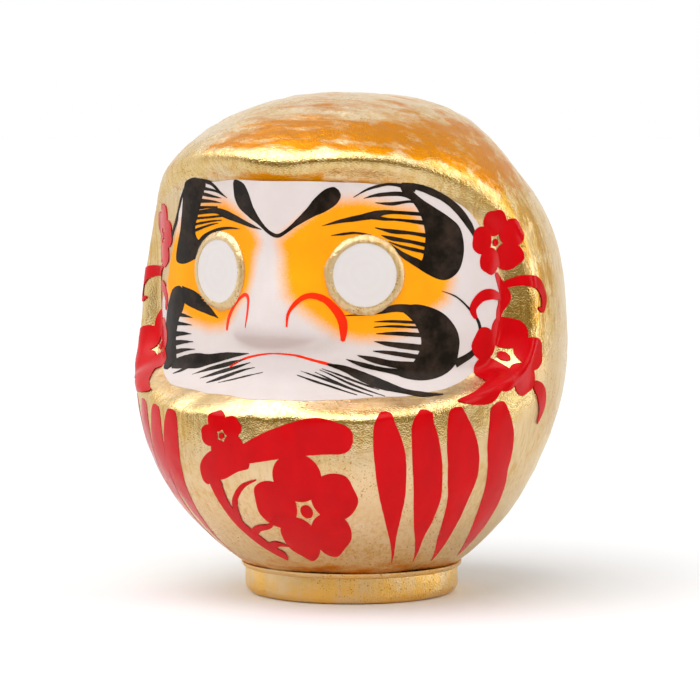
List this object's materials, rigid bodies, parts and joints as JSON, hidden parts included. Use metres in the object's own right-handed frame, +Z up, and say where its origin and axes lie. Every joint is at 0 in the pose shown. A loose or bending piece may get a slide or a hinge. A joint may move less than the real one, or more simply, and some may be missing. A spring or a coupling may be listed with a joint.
{
  "type": "daruma doll",
  "caption": "Hollow round papier-mache daruma doll with a recessed painted face, gold body and red stripes, on a short weighted foot.",
  "frame": {"origin": "centre of the foot's underside, on the surface that the doll stands on", "axes": "+Z up; the face looks along -Y; +X is to the right for someone who faces the doll"},
  "size_m": [0.208, 0.2077, 0.24],
  "materials": {
    "gold_paint": "papier-mache under a metallic gold paint with a soft gloss",
    "foot_gold_paint": "papier-mache under a brushed metallic gold paint",
    "bare_paper": "unpainted pasted paper, matt",
    "dried_clay": "dried clay, matt",
    "face_white": "chalky off-white paint with airbrushed orange shading",
    "black_ink": "satin black brushed paint",
    "red_enamel": "glossy red brushed enamel",
    "lip_red": "thin vermilion brushed enamel",
    "eye_white": "white paint with faint round brush marks"
  },
  "bodies": {
    "root": {"shell_front": "gold_paint", "shell_back": "gold_paint", "foot_ring": "foot_gold_paint", "foot_collar": "foot_gold_paint", "seam_strip_left": "bare_paper", "seam_strip_right": "bare_paper", "seam_strip_crown": "bare_paper", "base_cover": "bare_paper", "clay_weight": "dried_clay"}
  },
  "joints": []
}
